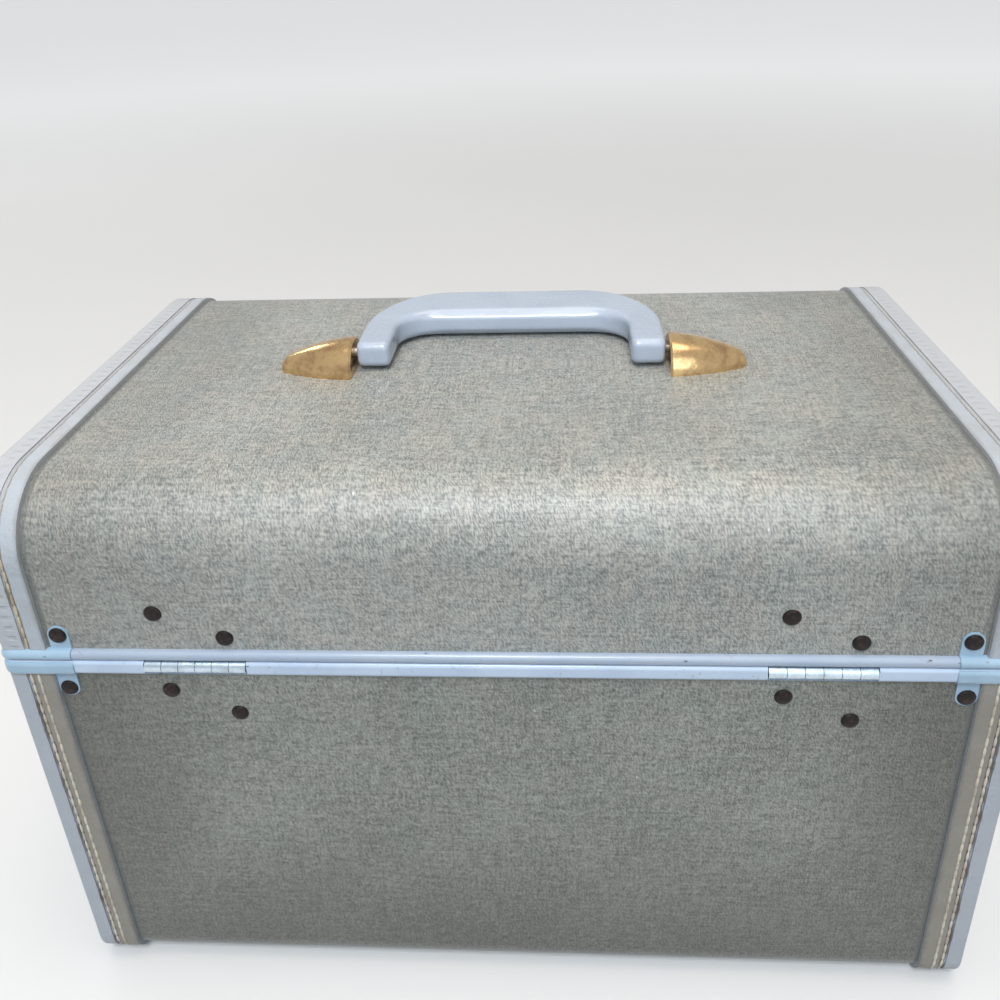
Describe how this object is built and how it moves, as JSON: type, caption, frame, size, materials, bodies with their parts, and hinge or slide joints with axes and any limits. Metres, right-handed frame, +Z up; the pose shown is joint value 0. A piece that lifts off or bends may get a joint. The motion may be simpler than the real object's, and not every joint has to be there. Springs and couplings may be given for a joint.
{
  "type": "makeup storage case with handle",
  "caption": "Hard-sided vanity travel case with hinged lid, folding top handle, front latches, lid mirror and lift-out compartment tray.",
  "frame": {"origin": "centre of the bounding box in plan, on the surface the case stands on", "axes": "+X along the length, to the right of someone facing the latches; +Z up; latches and front towards -Y, hinges towards +Y"},
  "size_m": [0.3426, 0.207, 0.2342],
  "materials": {
    "plywood": "bent plywood, plain",
    "tweed": "woven grey-green cloth, coated",
    "binding": "pale blue-grey stitched vinyl",
    "rim_enamel": "pale blue enamel, worn",
    "clip_enamel": "pale blue-green enamel",
    "brown_rivet": "dark brown lacquer",
    "hinge_metal": "bright plated steel",
    "gilt": "polished gilt brass",
    "handle_plastic": "glossy pale blue-grey moulding",
    "steel": "plain steel",
    "lining": "pale blue rayon lining",
    "tray_plastic": "pale blue moulded tray, flocked",
    "mirror_glass": "silvered glass",
    "frame_plastic": "pale blue moulded frame",
    "beech": "plain beech strip"
  },
  "bodies": {
    "base": {"base_binding_left": "binding", "base_binding_right": "binding", "base_clip_rivets": "brown_rivet", "base_cloth": "tweed", "base_corner_clips": "clip_enamel", "base_end_board_left": "plywood", "base_end_board_right": "plywood", "base_hinge_leaf_left": "hinge_metal", "base_hinge_leaf_right": "hinge_metal", "base_hinge_rivets": "brown_rivet", "base_latch_rivets": "gilt", "base_lining": "lining", "base_shell_board": "plywood", "base_valance": "rim_enamel", "hinge_pin_left": "hinge_metal", "hinge_pin_right": "hinge_metal", "lock_plate_left": "gilt", "lock_plate_right": "gilt", "tray_ledge_left": "beech", "tray_ledge_right": "beech"},
    "lid": {"handle_cap_left": "gilt", "handle_cap_right": "gilt", "handle_plate_left": "steel", "handle_plate_right": "steel", "hasp_mount_left": "gilt", "hasp_mount_right": "gilt", "hasp_pin_left": "gilt", "hasp_pin_right": "gilt", "lid_binding_left": "binding", "lid_binding_right": "binding", "lid_clip_rivets": "brown_rivet", "lid_cloth": "tweed", "lid_corner_clips": "clip_enamel", "lid_end_board_left": "plywood", "lid_end_board_right": "plywood", "lid_hinge_leaf_left": "hinge_metal", "lid_hinge_leaf_right": "hinge_metal", "lid_hinge_rivets": "brown_rivet", "lid_latch_rivets": "gilt", "lid_lining": "lining", "lid_shell_board": "plywood", "lid_valance": "rim_enamel", "mirror": "mirror_glass", "mirror_frame": "frame_plastic"},
    "handle": {"handle_core": "steel", "handle_grip": "handle_plastic", "handle_pins": "steel"},
    "hasp_left": {"hasp_hook_left": "gilt", "hasp_left": "gilt"},
    "hasp_right": {"hasp_hook_right": "gilt", "hasp_right": "gilt"},
    "latch_slide_left": {"latch_bolt_left": "gilt", "latch_button_left": "gilt"},
    "latch_slide_right": {"latch_bolt_right": "gilt", "latch_button_right": "gilt"},
    "tray": {"tray_body": "tray_plastic", "tray_dividers": "tray_plastic"}
  },
  "joints": [
    {"name": "lid_hinge", "type": "hinge", "parent": "base", "child": "lid", "pos_m": [0, 0.10095, 0.15615], "axis": [-1, 0, 0], "range_deg": [0, 100]},
    {"name": "handle_fold", "type": "hinge", "parent": "lid", "child": "handle", "pos_m": [0, 0.00435, 0.2283], "axis": [-1, 0, 0], "range_deg": [0, 180]},
    {"name": "hasp_left_hinge", "type": "hinge", "parent": "lid", "child": "hasp_left", "pos_m": [-0.1035, -0.10025, 0.168], "axis": [-1, 0, 0], "range_deg": [0, 120]},
    {"name": "latch_slide_left_travel", "type": "slide", "parent": "base", "child": "latch_slide_left", "axis": [1, 0, 0], "range_m": [0, 0.005]},
    {"name": "hasp_right_hinge", "type": "hinge", "parent": "lid", "child": "hasp_right", "pos_m": [0.1035, -0.10025, 0.168], "axis": [-1, 0, 0], "range_deg": [0, 120]},
    {"name": "latch_slide_right_travel", "type": "slide", "parent": "base", "child": "latch_slide_right", "axis": [-1, 0, 0], "range_m": [0, 0.005]},
    {"name": "tray_lift", "type": "slide", "parent": "base", "child": "tray", "axis": [0, 0, 1], "range_m": [0, 0.04]}
  ]
}
